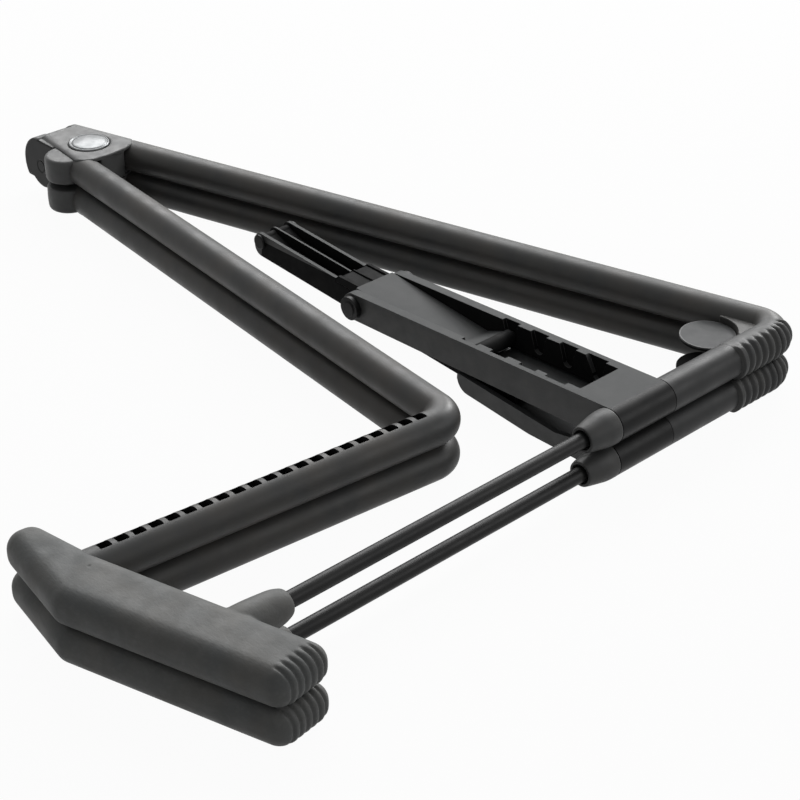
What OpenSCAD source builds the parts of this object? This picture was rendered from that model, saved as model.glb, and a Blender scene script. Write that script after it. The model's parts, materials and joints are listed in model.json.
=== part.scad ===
// Folding A-frame guitar stand: two mirrored tube frames on one head hinge,
// opened and locked by a notched upper arm, a ribbed lower arm and a locking strut.
// Drawn folded flat: X runs along the foot tubes, Y from the feet to the head, Z up.

/* [Frame tubes] */
// Outer diameter of every bent tube
tube_d = 16; // [14:0.5:18]
// Wall of the tubes, steel and soft coating together
tube_wall = 1.9; // [1.5:0.1:2.4]
// Free height between the two folded frames
fold_gap = 0.8; // [0.6:0.1:2]
// Distance from the rear leg's end to the head hinge, along Y
hinge_reach = 36.33; // [35:0.01:38]
// Lean of the rear leg away from the Y axis, in degrees
rear_lean = 16; // [15:0.5:17]
// Length of the rear leg's axis, foot corner to head
rear_leg_len = 370; // [365:1:372]
// Centreline radius of the rear foot corner
rear_bend = 9.4; // [9.2:0.1:12]
// Foot tube length from the foot corner to the arm barrel
foot_tube_len = 83.5; // [70:0.5:90]

/* [Front leg and rest tube] */
// Sideways position of the lower front corner
front_corner_x = -162.7; // [-170:0.1:-155]
// Height of the lower front corner above the foot line
front_corner_y = 47.2; // [42:0.1:52]
// Centreline radius of the lower front corner
front_bend = 10; // [9.5:0.5:18]
// Rise of the rest tube away from the X axis, in degrees
rest_rise = 5.7; // [4:0.1:7]
// Length of the rest tube's axis from the corner
rest_len = 176; // [174:0.5:178]
// Number of square windows along the rest tube
window_count = 18; // [4:1:18]
// Side of each square window
window_size = 5; // [3:0.5:6]
// Distance from one window to the next
window_pitch = 9.03; // [7:0.01:9.1]
// Distance from the corner to the first window
window_start = 15.3; // [14:0.1:18]
// Turn of the windows away from the tube's top line, in degrees
window_turn = 17; // [0:1:40]

/* [Foot bar] */
// Width of the foot bar
bar_w = 28; // [24:0.5:32]
// Rounding of the foot bar's edges
bar_round = 7.5; // [4:0.5:8]
// Distance from the rest tube's end to the bar's axis, along X
rest_seat = 6.8; // [5:0.1:8]
// Reach of the bar below the foot line
bar_below = 43.5; // [35:0.5:50]
// Reach of the bar above the foot line, up to its knee
bar_knee = 61.5; // [58:0.5:66]
// Length of the tapered end above the knee
bar_tip = 38; // [34:0.5:44]
// Width of the tapered end
bar_tip_w = 17; // [16:0.5:22]
// Number of grip grooves in the bar's lower end
bar_grooves = 6; // [2:1:8]

/* [Tie rod] */
// Diameter of the tie rods
rod_d = 6.8; // [5:0.2:8]
// Small diameter of the cones that the rods enter
cone_tip_d = 10; // [9:0.2:12]
// Length of the nose cone beside the arm barrel
nose_len = 19; // [14:0.5:24]
// Reach of the foot bar's socket towards the arm
socket_len = 36; // [30:0.5:42]

/* [Rubber boots] */
// Outer diameter over the boot's ribs
boot_d = 17.8; // [17.2:0.1:18.6]
// Diameter of the boot between its ribs
boot_root_d = 16.9; // [16.7:0.1:17.1]
// Straight length of the boot along the foot tube
boot_len = 27; // [18:0.5:30]
// Distance from one rib to the next
rib_pitch = 3.7; // [3:0.1:5]
// Ribs that follow the bend
bend_ribs = 6; // [2:1:7]

/* [Head] */
// Radius of the head plate's rounded front
head_r = 25; // [24:0.5:26]
// Radius of the drum that carries the front leg
drum_r = 11.5; // [10.5:0.1:12]
// Height of the drum
drum_h = 13.3; // [13:0.1:14]
// Radius of the badge disc
badge_r = 11.2; // [9:0.1:11.4]
// Height of the badge's dome above the head plate
badge_rise = 0.7; // [0.3:0.1:0.8]
// Outer radius of the hinge barrel
knuckle_r = 15.6; // [15:0.1:15.8]
// Length of the middle knuckle
knuckle_len = 14.4; // [12:0.2:16]
// Length of each outer knuckle
lug_len = 8.5; // [7:0.1:9]
// Diameter of the hinge pin
hinge_pin_d = 6; // [5:0.5:8]

/* [Corner plates] */
// Radius of the round plate in the foot corner
corner_disc_r = 12.9; // [12:0.1:13.5]
// Thickness of the round plate
corner_disc_t = 1.8; // [1.4:0.1:3]

/* [Brace arms] */
// Outer width of both arms at their barrels
arm_w = 33.4; // [32:0.2:35]
// Wall of the upper arm
arm_wall = 2.6; // [2.2:0.1:3]
// Depth of the toothed lip inside each wall of the upper arm
lip_t = 2.1; // [1.6:0.1:2.4]
// Distance from the foot line to the elbow pin, folded
elbow_y = 160; // [155:1:165]
// Reach of the lower arm beyond the elbow pin
arm_reach = 76.1; // [74:0.1:78]
// Diameter of the axle that the arms turn on
axle_d = 10; // [9:0.2:11]
// Width of the lower arm's slim part
slim_w = 20; // [18:0.2:21]
// Wall of the lower arm's slim part
slim_wall = 1.8; // [1.4:0.1:2.2]
// Diameter of the elbow pin
elbow_pin_d = 3.6; // [3:0.1:4]
// Diameter of the strut's hinge pin
strut_pin_d = 3; // [2.5:0.1:3.4]
// Diameter of the locking pin in the strut's tail
lock_pin_d = 4.8; // [4:0.1:5]
// Distance from the elbow pin to the folded locking pin
lock_rest = 75; // [73:0.5:77]
// Largest angle between the two frames, in degrees
open_angle = 31; // [20:1:31]
// Turn of each arm for each degree that the frames open
arm_ratio = 1.33; // [1.325:0.001:1.335]
// Number of notches for the locking pin
notch_count = 4; // [4:1:4]

/* [Clearances] */
// Radial clearance of pins, axles and plugs
fit = 0.05; // [0.03:0.01:0.08]
// Side clearance between moving pieces
side_gap = 0.3; // [0.2:0.05:0.4]

/* [Hidden] */
$fn = 64;

tube_r = tube_d / 2;
bore_r = tube_r - tube_wall;
plug_r = bore_r - fit;
rod_r = rod_d / 2;
half_h = tube_r + fold_gap / 2;
boot_r = boot_d / 2;
stack_half = half_h + boot_r;
flat_gap = 0.2;
bend_swell = 0.02;
rib_turn = 11;

// Directions in the frame plane, as angles from +X
rear_dir = 90 + rear_lean;
foot_dir = 180;
rest_dir = 180 - rest_rise;
function ray(angle) = [cos(angle), sin(angle)];
rear_end = rear_leg_len * ray(rear_dir);
front_corner = [front_corner_x, front_corner_y];
rest_end = front_corner + rest_len * ray(rest_dir);

// Head pieces, placed from the hinge, and the front leg, which is aimed at its drum
hinge_aside = 18;
hinge_y = rear_end.y + hinge_reach;
hinge_mid_x = rear_end.x - hinge_aside;
drum_aside = 15;
drum_ahead = 24;
drum_at = [hinge_mid_x - drum_aside, hinge_y - drum_ahead];
leg_aside = 3.75;
leg_short = 9.34;
leg_aim = drum_at + [leg_aside, 0] - front_corner;
front_dir = atan2(leg_aim.y, leg_aim.x);
front_end_len = norm(leg_aim) - leg_short;

// Arm barrel, between the foot tube and the nose cone
barrel_far = -foot_tube_len;
barrel_near = barrel_far - arm_w - 2 * side_gap;
arm_mid_x = (barrel_far + barrel_near) / 2;
nose_tip_x = barrel_near - nose_len;

// Foot bar, its lower part parallel to the rear leg and its tip to the front leg
bar_x = rest_end.x + rest_end.y * tan(rear_lean) - rest_seat;
bar_h = stack_half - flat_gap;
bar_inset = bar_w / 2 - bar_round;
bar_side = ray(rear_dir - 90);
bar_foot_at = [bar_x, 0] - (bar_below - bar_round) * ray(rear_dir);
bar_knee_at = [bar_x, 0] + bar_knee * ray(rear_dir);
bar_tip_inset = bar_tip_w / 2 - bar_round;
tip_shift = 2.4;
bar_tip_at = bar_knee_at + (bar_tip - bar_round) * ray(front_dir) - [tip_shift, 0];
groove_depth = 0.9;
groove_w = 1.1;

// Head
plate_top = half_h + tube_r + 0.2;
head_aside = 2.5;
head_ahead = 17;
head_at = [hinge_mid_x + head_aside, hinge_y - head_ahead];
badge_aside = 0.5;
badge_ahead = 23.5;
badge_at = [hinge_mid_x + badge_aside, hinge_y - badge_ahead];
drum_low = half_h - drum_h / 2;
drum_gap = 0.4;
lug_r = drum_ahead - drum_r - drum_gap;
back_r = 16;
lug_low = 8.7;
lug_start = knuckle_len / 2 + side_gap;
hinge_half = lug_start + lug_len;
hinge_pin_r = hinge_pin_d / 2;
plug_len = 18;

// Corner plate
disc_at = [-28.6, 20.3];
disc_top = half_h + 0.7;
web_top = half_h + 3.6;
web_gap = 0.4;

// Brace linkage, in the side plane
arm_len = sqrt(elbow_y * elbow_y + half_h * half_h);
arm_rest = atan(half_h / elbow_y);
axle_r = axle_d / 2;
barrel_r = tube_r;
elbow_pin_r = elbow_pin_d / 2;
strut_pin_r = strut_pin_d / 2;
lock_pin_r = lock_pin_d / 2;
slot_clear = 0.25;
function foot_rise(turn) = hinge_y * sin(turn / 2) + half_h * cos(turn / 2);
function arm_slope(turn) = arm_rest + arm_ratio * turn;
function arm_miss(turn) = 2 * (foot_rise(turn) - arm_len * sin(arm_slope(turn)));
function elbow_shift(turn) = arm_miss(turn) * [sin(arm_slope(turn)), cos(arm_slope(turn))];

// Locking strut: folded and fully open places of its two pins, seen from the elbow pin
// with x towards the upper arm's barrel and y outwards
strut_eye_rest = arm_reach * ray(180 - 2 * arm_rest);
strut_len = norm([lock_rest, 0] - strut_eye_rest);
open_slope = arm_slope(open_angle);
strut_eye_open = arm_reach * ray(180 - 2 * open_slope)
    - arm_miss(open_angle) * [sin(open_slope), cos(open_slope)];
lock_open = strut_eye_open.x + sqrt(strut_len * strut_len - strut_eye_open.y * strut_eye_open.y);
notch_pitch = (lock_open - lock_rest) / (notch_count - 1);

// Upper arm profile
arm_half = arm_w / 2;
arm_inner = arm_half - arm_wall;
lip_inner = arm_inner - lip_t;
tip_r = 6.9;
lip_low = -5;
cover_end = 20.6;
cover_t = 2.5;
floor_end = 86;
floor_t = 1.5;
rib_t = 1;
head_t = 2.8;

// Lower arm profile
wide_end = 90;
wide_low = 11;
wide_top = -1.8;
slim_half = slim_w / 2;
slim_low = -8.2;
slim_floor = -6.7;
slim_top = 1.9;
guard_top = 4.2;
guard_start = 180.4;
slim_end = arm_len + arm_reach + 4.8;
lug_side = slim_half - slim_wall - 0.6;
lug_top_r = 4.4;

// Locking strut profile
strut_half = lip_inner - 0.35;
strut_plate_t = 1.5;
strut_top = 6.9;
strut_plate_start = 163.5;
strut_slope_end = 99;
strut_slope_z = 1.6;
finger_side = lug_side;
finger_inner = 0.9;
tail_r = lock_pin_r + 1.4;
rib_start = guard_start - 0.8;
lock_half = arm_inner - side_gap;

// Overall box, which sets the origin at the middle of the underside
left_x = bar_knee_at.x - bar_inset * bar_side.x - bar_round;
right_x = rear_bend / sin((foot_dir - rear_dir) / 2) * cos((foot_dir + rear_dir) / 2)
    + max(rear_bend + tube_r + bend_swell, (rear_bend + boot_r) * sin(min(90, bend_ribs * rib_turn)));
front_y = bar_foot_at.y - bar_inset * bar_side.y - bar_round;
back_y = hinge_y + back_r;

charcoal = [0.17, 0.17, 0.165];
rubber = [0.12, 0.12, 0.12];
moulded = [0.22, 0.225, 0.225];
blackened = [0.06, 0.06, 0.065];
silver = [0.78, 0.79, 0.8];

// Placing helpers
module seat() {
    translate([-(left_x + right_x) / 2, -(front_y + back_y) / 2, stack_half]) children();
}

module upper() {
    seat() children();
}

module lower() {
    seat() mirror([0, 0, 1]) children();
}

// A round bar between two points of the frame plane
module run(from, angle, length, radius) {
    translate([from.x, from.y, half_h]) rotate([0, 90, angle]) cylinder(h = length, r = radius);
}

// Frame of a bend: its centre, turned so that the bend starts on the X axis
module bend_frame(corner, low_dir, high_dir, bend) {
    centre = corner + bend / sin((high_dir - low_dir) / 2) * ray((low_dir + high_dir) / 2);
    translate([centre.x, centre.y, half_h]) rotate([0, 0, high_dir + 90]) children();
}

// A bar with one bend, a hair fatter in the bend than in its straight lengths
module bent_bar(corner, low_dir, high_dir, bend, low_len, high_len, radius) {
    sweep = 180 - high_dir + low_dir;
    skip = bend * tan(sweep / 2);
    lap = 0.5;
    bend_frame(corner, low_dir, high_dir, bend) union() {
        translate([bend, lap, 0]) rotate([90, 0, 0]) cylinder(h = high_len - skip + lap, r = radius);
        rotate([0, 0, sweep]) translate([bend, -lap, 0]) rotate([-90, 0, 0])
            cylinder(h = low_len - skip + lap, r = radius);
        rotate_extrude(angle = sweep) translate([bend, 0]) circle(r = radius + bend_swell);
    }
}

// A hollow bar with one bend, open at both ends
module bent_tube(corner, low_dir, high_dir, bend, low_len, high_len) {
    difference() {
        bent_bar(corner, low_dir, high_dir, bend, low_len, high_len, tube_r);
        bent_bar(corner, low_dir, high_dir, bend, low_len + 1, high_len + 1, bore_r);
    }
}

module tube_arc(bend, start, sweep, outer, inner) {
    rotate([0, 0, start]) rotate_extrude(angle = sweep) translate([bend, 0]) ring(outer, inner);
}

module ring(outer, inner) {
    difference() {
        circle(r = outer);
        circle(r = inner);
    }
}

// A profile in the side plane, pulled out along X between two planes
module side_pull(from_x, to_x) {
    translate([from_x, 0, 0]) rotate([90, 0, 90]) linear_extrude(to_x - from_x) children();
}

module cross_bar(from_x, to_x, radius) {
    translate([from_x, 0, 0]) rotate([0, 90, 0]) cylinder(h = to_x - from_x, r = radius);
}

module rear_leg() {
    color(charcoal)
        bent_tube([0, 0], rear_dir, foot_dir, rear_bend, rear_leg_len, foot_tube_len);
}

module front_leg() {
    color(charcoal) difference() {
        bent_tube(front_corner, front_dir, rest_dir, front_bend, front_end_len, rest_len);
        translate([drum_at.x, drum_at.y, 0]) cylinder(h = 2 * half_h, r = drum_r + fit);
        windows();
    }
}

module windows() {
    for (i = [0 : window_count - 1]) {
        at = front_corner + (window_start + i * window_pitch) * ray(rest_dir);
        translate([at.x, at.y, half_h]) rotate([0, 0, rest_dir]) rotate([window_turn, 0, 0])
            translate([-window_size / 2, -window_size / 2, 2])
                cube([window_size, window_size, tube_r]);
    }
}

// Rounded block between two sections of the foot bar
module bar_span(from, from_side, from_inset, to, to_side, to_inset) {
    hull() {
        for (z = [flat_gap + bar_round, flat_gap + bar_h - bar_round], side = [-1, 1]) {
            a = from + side * from_inset * from_side;
            b = to + side * to_inset * to_side;
            translate([a.x, a.y, z]) sphere(r = bar_round, $fn = 32);
            translate([b.x, b.y, z]) sphere(r = bar_round, $fn = 32);
        }
    }
}

module bar_lower() {
    bar_span(bar_foot_at, bar_side, bar_inset, bar_knee_at, bar_side, bar_inset);
}

module foot_bar() {
    tip_side = ray(front_dir - 90);
    shift = groove_depth * ray(rear_dir);
    color(rubber) difference() {
        union() {
            difference() {
                union() {
                    bar_lower();
                    bar_span(bar_knee_at, bar_side, bar_inset, bar_tip_at, tip_side, bar_tip_inset);
                }
                difference() {
                    groove_slabs();
                    translate([shift.x, shift.y, 0]) bar_lower();
                }
                rest_saddle();
            }
            rest_plug();
            rod_socket();
        }
        run([bar_x + 5, 0], 0, socket_len, rod_r + fit);
        thumb_dimple();
    }
}

module groove_slabs() {
    step = (bar_w - 6) / (bar_grooves - 1);
    for (i = [0 : bar_grooves - 1]) {
        at = bar_foot_at + (i * step - (bar_w - 6) / 2) * bar_side;
        translate([at.x, at.y, 0]) rotate([0, 0, rear_dir + 180])
            translate([0, -groove_w / 2, -1]) cube([bar_round + 1, groove_w, bar_h + 2]);
    }
}

// Open saddle in the bar where the rest tube lies
module rest_saddle() {
    run(rest_end, rest_dir + 180, bar_w, tube_r + fit);
    translate([rest_end.x, rest_end.y, 0]) rotate([0, 0, rest_dir + 180])
        translate([0, -tube_r - fit, -1]) cube([bar_w, 2 * (tube_r + fit), half_h + 1]);
}

module rest_plug() {
    run(rest_end + ray(rest_dir), rest_dir + 180, 15, plug_r);
}

module rod_socket() {
    straight = 22;
    run([bar_x, 0], 0, straight, tube_r);
    translate([bar_x + straight, 0, half_h]) rotate([0, 90, 0])
        cylinder(h = socket_len - straight, r1 = tube_r, r2 = cone_tip_d / 2);
}

module thumb_dimple() {
    ball_r = 6;
    depth = 0.7;
    along = bar_knee - 4.3;
    aside = 4;
    at = [bar_x, 0] + along * ray(rear_dir) + aside * bar_side;
    translate([at.x, at.y, stack_half + ball_r - depth]) sphere(r = ball_r, $fn = 32);
}

module tie_rod() {
    color(blackened) run([bar_x + 6, 0], 0, barrel_far + 16 - bar_x - 6, rod_r);
}

module nose_cone() {
    straight = 6;
    color(moulded) difference() {
        union() {
            run([barrel_near - straight, 0], 0, straight, tube_r);
            translate([barrel_near - straight, 0, half_h]) rotate([0, -90, 0])
                cylinder(h = nose_len - straight, r1 = tube_r, r2 = cone_tip_d / 2);
        }
        run([nose_tip_x - 1, 0], 0, nose_len + 2, rod_r + fit);
    }
}

// Axle of the arm barrel, plugged into the foot tube and bored for the tie rod
module axle_bush() {
    plug = 24;
    color(blackened) difference() {
        union() {
            run([barrel_near + fit, 0], 0, arm_w + 2 * side_gap, axle_r);
            run([barrel_far + fit, 0], 0, plug, plug_r);
        }
        run([barrel_near - 1, 0], 0, arm_w + 20, rod_r + fit);
    }
}

// Ribbed sleeve over the foot tube and round the foot corner, flat where the two boots meet
module rear_boot() {
    bore = tube_r + fit;
    root_r = boot_root_d / 2;
    rib_w = 2.1;
    ribs = floor(boot_len / rib_pitch);
    rib_sweep = 6;
    rib = [[boot_r, 0], [boot_r, rib_w], [root_r, rib_w], [root_r, rib_pitch]];
    color(rubber) difference() {
        bend_frame([0, 0], rear_dir, foot_dir, rear_bend) union() {
            translate([rear_bend, 0, 0]) rotate([90, 0, 0]) rotate_extrude()
                polygon(concat([[bore, 0], [bore, boot_len]],
                    [for (i = [0 : ribs - 1], corner = rib) [corner.x, boot_len - i * rib_pitch - corner.y]],
                    [[root_r, 0]]));
            tube_arc(rear_bend, 0, bend_ribs * rib_turn, root_r, bore);
            for (i = [0 : bend_ribs - 1])
                tube_arc(rear_bend, 1 + i * rib_turn, rib_sweep, boot_r, root_r - 0.2);
        }
        translate([-80, -40, flat_gap - 10]) cube([120, 80, 10]);
    }
}

// Round plate in the foot corner, with a web behind it
module corner_plate() {
    color(moulded) difference() {
        union() {
            translate([disc_at.x, disc_at.y, disc_top - corner_disc_t])
                cylinder(h = corner_disc_t, r = corner_disc_r);
            corner_web();
        }
        run([-60, 0], 0, 70, boot_r + side_gap);
        run([0, 0], rear_dir, 80, tube_r + fit);
    }
}

// Web that fills the corner behind the disc, with a round recess over the disc
module corner_web() {
    difference() {
        translate([0, 0, disc_top - corner_disc_t]) linear_extrude(web_top - disc_top + corner_disc_t)
            polygon([[-14, 4], disc_at + [0, -16], disc_at, disc_at + [9, 14], [-8, 24]]);
        translate([disc_at.x, disc_at.y, disc_top]) cylinder(h = 10, r = corner_disc_r + web_gap);
    }
}

// Plan of the head: a round front cut by straight sides, seen from the hinge
module head_outline() {
    back = 1.5;
    back_left = 8.5;
    back_right = 15.5;
    side_right = 25.8;
    side_start = 34;
    front = 47;
    front_left = 16;
    waist = 36;
    waist_left = 14;
    intersection() {
        translate(head_at) circle(r = head_r, $fn = 128);
        translate([hinge_mid_x, hinge_y])
            polygon([[-back_left, back], [back_right, back], [side_right, -side_start],
                [side_right, -front], [-front_left, -front], [-waist_left, -waist]]);
    }
}

module leg_print(from, angle, length) {
    translate([from.x, from.y, -1]) rotate([0, 0, angle])
        translate([0, -tube_r - fit, 0]) cube([length, 2 * (tube_r + fit), plate_top + 2]);
}

module head_solid() {
    translate([0, 0, flat_gap]) linear_extrude(plate_top - flat_gap) head_outline();
}

module head_cuts() {
    leg_print([0, 0], rear_dir, rear_leg_len);
    leg_print(front_corner, front_dir, front_end_len);
    run(front_corner, front_dir, front_end_len + leg_short, plug_r + fit);
    translate([drum_at.x, drum_at.y, -1]) cylinder(h = drum_low + drum_h + fit + 1, r = drum_r + fit);
    translate([badge_at.x, badge_at.y, plate_top - 1]) cylinder(h = 2, r = badge_r + fit);
    translate([badge_at.x, badge_at.y, 1.5]) cylinder(h = 20, r = 2 + fit);
    translate([badge_at.x, badge_at.y, plate_top - 3.2]) cylinder(h = 5, r = 4 + fit);
    tongue(fit);
}

// Tongue of the drum, held in the head by the screw
module tongue(grow) {
    translate([drum_at.x, drum_at.y - 5 - grow, half_h - 2.5 - grow])
        cube([19 + grow, 10 + 2 * grow, 5 + 2 * grow]);
}

module at_hinge() {
    translate([hinge_mid_x, hinge_y, 0]) children();
}

module hinge_bore() {
    at_hinge() cross_bar(-hinge_half - 1, hinge_half + 1, hinge_pin_r + fit);
}

module lug_profile() {
    union() {
        circle(r = lug_r);
        intersection() {
            circle(r = back_r, $fn = 96);
            translate([0, -lug_low]) square([back_r + 1, back_r + lug_low + 1]);
        }
        translate([-16, flat_gap]) square([16, back_r - flat_gap]);
    }
}

module upper_head_block() {
    color(moulded) difference() {
        union() {
            difference() {
                head_solid();
                at_hinge() cross_bar(-lug_start, lug_start, knuckle_r + side_gap);
            }
            at_hinge() {
                side_pull(-hinge_half, -lug_start) lug_profile();
                side_pull(lug_start, hinge_half) lug_profile();
            }
        }
        head_cuts();
        hinge_bore();
    }
}

module lower_head_block() {
    clear_y = hinge_y - lug_r - side_gap;
    color(moulded) difference() {
        union() {
            difference() {
                mirror([0, 0, 1]) head_solid();
                translate([hinge_mid_x - 2 * head_r, clear_y, -stack_half])
                    cube([4 * head_r, 2 * head_r, 2 * stack_half]);
            }
            at_hinge() cross_bar(-knuckle_len / 2, knuckle_len / 2, knuckle_r);
            intersection() {
                mirror([0, 0, 1]) head_solid();
                translate([hinge_mid_x - knuckle_len / 2, clear_y - side_gap, -stack_half])
                    cube([knuckle_len, head_r, 2 * stack_half]);
            }
        }
        mirror([0, 0, 1]) head_cuts();
        hinge_bore();
    }
}

module leg_drum() {
    bevel = 1;
    at = front_corner + (front_end_len + 4) * ray(front_dir);
    color(moulded) difference() {
        union() {
            translate([drum_at.x, drum_at.y, drum_low]) {
                cylinder(h = drum_h - bevel, r = drum_r);
                translate([0, 0, drum_h - bevel]) cylinder(h = bevel, r1 = drum_r, r2 = drum_r - bevel);
            }
            run(at, front_dir + 180, plug_len + 14, plug_r);
            tongue(0);
        }
        translate([badge_at.x, badge_at.y, 1]) cylinder(h = 20, r = 2 + fit);
    }
}

// Shallow dome as a turned profile
module badge() {
    edge = plate_top - 0.9;
    dome = (badge_r * badge_r + badge_rise * badge_rise) / (2 * badge_rise);
    steps = 8;
    function dome_z(r) = sqrt(dome * dome - r * r) - dome + badge_rise;
    color(silver) translate([badge_at.x, badge_at.y, 0]) rotate_extrude()
        polygon(concat([[0, edge], [badge_r, edge]],
            [for (i = [steps : -1 : 0]) [badge_r * i / steps, plate_top + dome_z(badge_r * i / steps)]]));
}

module head_screw() {
    color(silver) translate([badge_at.x, badge_at.y, 0]) {
        translate([0, 0, 2]) cylinder(h = plate_top - 5, r = 2);
        translate([0, 0, plate_top - 3.15]) cylinder(h = 2, r = 4);
    }
}

module rear_plug() {
    run(rear_end, rear_dir + 180, plug_len, plug_r);
    run(rear_end, rear_dir, 2, plug_r);
}

module hinge_pin() {
    color(blackened) at_hinge() cross_bar(-hinge_half, hinge_half, hinge_pin_r);
}

// Frames of the moving pieces, folded
module upper_arm_frame() {
    translate([arm_mid_x, 0, half_h]) rotate([-arm_rest, 0, 0]) children();
}

module lower_arm_frame() {
    translate([arm_mid_x, 0, -half_h]) rotate([arm_rest, 0, 0]) children();
}

// Both walls of a channel, mirrored about its middle
module both_sides(from_x, to_x) {
    side_pull(from_x, to_x) children();
    side_pull(-to_x, -from_x) children();
}

// Two round ends joined by lines just inside their outer tangents
module upper_arm_side() {
    taper = asin((barrel_r - tip_r) / arm_len);
    lean = [sin(taper), cos(taper)];
    flip = [lean.x, -lean.y];
    near = barrel_r - 0.03;
    far = tip_r - 0.03;
    union() {
        circle(r = barrel_r);
        translate([arm_len, 0]) circle(r = tip_r);
        polygon([near * lean, [arm_len, 0] + far * lean, [arm_len, 0] + far * flip, near * flip]);
    }
}

module notches() {
    ramp_near = 4.9;
    ramp_far = 2.6;
    for (i = [0 : notch_count - 1]) {
        at = arm_len - lock_rest - i * notch_pitch;
        last = i == notch_count - 1 ? 2.4 : 0;
        seat_r = lock_pin_r + slot_clear;
        translate([at, 0]) circle(r = seat_r, $fn = 32);
        translate([at, 0]) polygon([[-seat_r, 0], [seat_r, 0], [seat_r + ramp_far + last, 9],
            [-seat_r - ramp_far, 9]]);
    }
}

// Space inside the upper arm, over its floor and clear of its barrel and front cover
module channel_space(top) {
    difference() {
        translate([0, -20]) square([300, 20 + top]);
        circle(r = barrel_r);
        translate([0, barrel_r - cover_t]) square([cover_end, cover_t + 1]);
        translate([0, -barrel_r - 1]) square([floor_end, floor_t + 1]);
    }
}

module upper_arm() {
    color(moulded) upper_arm_frame() difference() {
        union() {
            difference() {
                side_pull(-arm_half, arm_half) upper_arm_side();
                side_pull(-lip_inner, lip_inner) channel_space(20);
                side_pull(-arm_inner, arm_inner) channel_space(lip_low);
                side_pull(-arm_inner, arm_inner) notches();
            }
            side_pull(-rib_t / 2, rib_t / 2)
                translate([4, -barrel_r + floor_t - 0.8]) square([floor_end - 5, 2.2]);
        }
        cross_bar(-arm_half - 1, arm_half + 1, axle_r + fit);
        side_pull(-arm_half - 1, arm_half + 1)
            translate([arm_len, 0]) circle(r = elbow_pin_r + fit);
    }
}

module elbow_pin() {
    head_r = 5.8;
    color(blackened) upper_arm_frame() translate([0, arm_len, 0]) {
        cross_bar(-arm_half - 0.5, arm_half + 0.5, elbow_pin_r);
        cross_bar(-arm_half - fit - head_t, -arm_half - fit, head_r);
        cross_bar(arm_half + fit, arm_half + fit + head_t, head_r);
        cross_bar(-arm_half - fit - head_t - 0.5, -arm_half - fit - head_t + 0.1, head_r - 2.2);
    }
}

// Closed slot that the elbow pin sweeps in the lower arm as the frames open
module elbow_slot() {
    steps = 24;
    for (i = [0 : steps])
        translate([arm_len, 0] + elbow_shift(open_angle * i / steps))
            circle(r = elbow_pin_r + slot_clear, $fn = 32);
}

module slim_side(top, guard) {
    end_round = 5;
    difference() {
        union() {
            translate([wide_end - 30, slim_low]) square([slim_end - end_round - wide_end + 30, top - slim_low]);
            translate([guard_start, slim_low]) square([slim_end - end_round - guard_start, guard - slim_low]);
            translate([slim_end - end_round, slim_low + end_round])
                square([end_round, guard - slim_low - 2 * end_round + 1]);
            translate([slim_end - end_round, slim_low + end_round]) circle(r = end_round);
            translate([slim_end - end_round, guard - end_round]) circle(r = end_round);
        }
        translate([wide_end - 40, wide_top]) square([41, 20]);
    }
}

module wide_side() {
    step_r = 7;
    union() {
        circle(r = barrel_r);
        polygon([[0, -barrel_r], [45, -wide_low], [wide_end - step_r, -wide_low + 1],
            [wide_end - step_r, wide_top], [30, wide_top - 0.6], [12, 2], [0, barrel_r - 2]]);
        translate([wide_end - step_r, wide_top - 3]) square([step_r, 3]);
        intersection() {
            translate([wide_end - step_r, -wide_low + 1 + step_r]) circle(r = step_r);
            translate([wide_end - step_r - 1, -wide_low]) square([step_r + 2, wide_low + wide_top]);
        }
    }
}

module wide_floor() {
    intersection() {
        wide_side();
        union() {
            translate([0, -wide_low]) square([wide_end, wide_low + slim_floor]);
            translate([wide_end - 2.5, -wide_low]) square([3, wide_low + wide_top]);
        }
    }
}

module lower_arm() {
    eye = arm_len + arm_reach;
    color(moulded) lower_arm_frame() difference() {
        union() {
            both_sides(arm_inner, arm_half) wide_side();
            side_pull(-arm_inner - 0.01, arm_inner + 0.01) wide_floor();
            cross_bar(-arm_half, arm_half, barrel_r);
            both_sides(slim_half - slim_wall, slim_half) slim_side(slim_top, guard_top);
            side_pull(-rib_t / 2, rib_t / 2) slim_side(slim_top, guard_top);
            side_pull(-slim_half + 0.1, slim_half - 0.1)
                translate([wide_end - 5, slim_low]) square([slim_end - wide_end - 1, slim_floor - slim_low]);
            side_pull(-slim_half + 0.1, slim_half - 0.1)
                translate([slim_end - 1.5, slim_low + 5]) square([1.5, guard_top - slim_low - 10]);
            both_sides(rib_t / 2 + 0.6, lug_side) union() {
                translate([arm_len, 0]) circle(r = lug_top_r);
                translate([arm_len - 7, slim_low + 0.2]) square([14, 8.2]);
            }
        }
        cross_bar(-arm_half - 1, arm_half + 1, axle_r + fit);
        side_pull(-slim_half - 1, slim_half + 1) elbow_slot();
        side_pull(-slim_half - 1, slim_half + 1) translate([eye, 0]) circle(r = strut_pin_r + fit, $fn = 32);
    }
}

module strut_pin() {
    head_r = 3.7;
    color(blackened) lower_arm_frame() translate([0, arm_len + arm_reach, 0]) {
        cross_bar(-slim_half - 0.5, slim_half + 0.5, strut_pin_r);
        cross_bar(-slim_half - fit - 1.6, -slim_half - fit, head_r);
        cross_bar(slim_half + fit, slim_half + fit + 1.6, head_r);
    }
}

// The strut is drawn in the folded side plane, from the foot line
strut_eye_at = [elbow_y + arm_reach * cos(arm_rest), arm_reach * sin(arm_rest)];
lock_at = [elbow_y - lock_rest * cos(arm_rest), lock_rest * sin(arm_rest)];
function slim_line(y, above) = -half_h + y * half_h / elbow_y + above / cos(arm_rest);

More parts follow.
